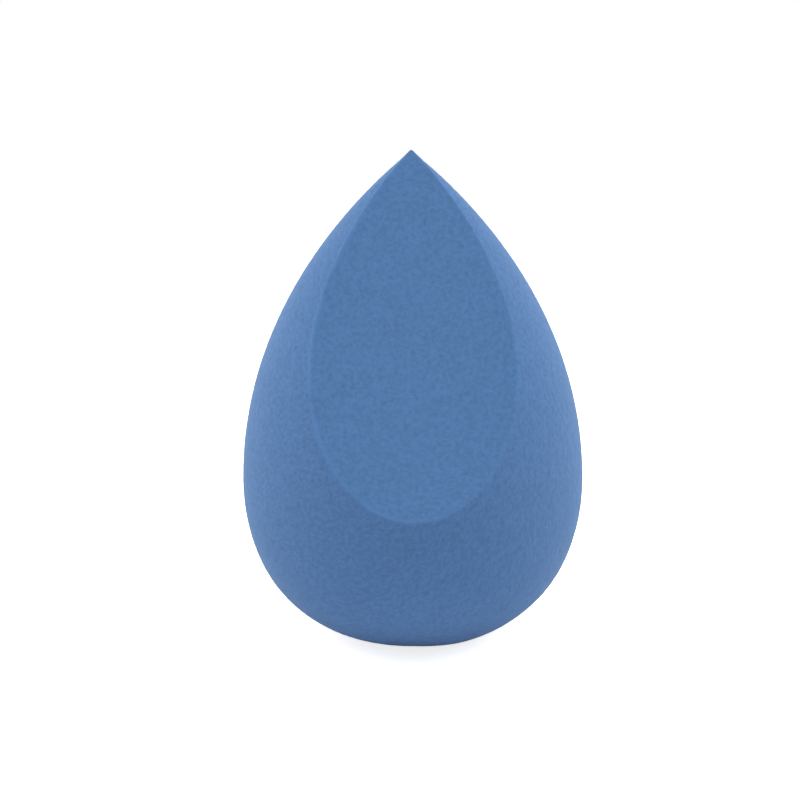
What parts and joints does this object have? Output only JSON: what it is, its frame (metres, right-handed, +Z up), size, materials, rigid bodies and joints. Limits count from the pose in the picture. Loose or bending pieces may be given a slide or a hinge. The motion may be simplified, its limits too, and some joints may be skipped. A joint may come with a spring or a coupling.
{
  "type": "makeup sponge",
  "caption": "Teardrop makeup sponge of soft blue foam with a pointed tip, a round belly, a small flat foot and a slanted flat cut face, for dabbing on and blending foundation.",
  "frame": {"origin": "middle of the flat foot, on the surface that the sponge stands on", "axes": "+Z up along the teardrop's axis towards the point, -Y towards the side with the slanted cut, +X to the right of a viewer who faces the cut"},
  "size_m": [0.0412, 0.0412, 0.06],
  "materials": {
    "foam": "matte"
  },
  "bodies": {
    "root": {"sponge_body": "foam"}
  },
  "joints": []
}
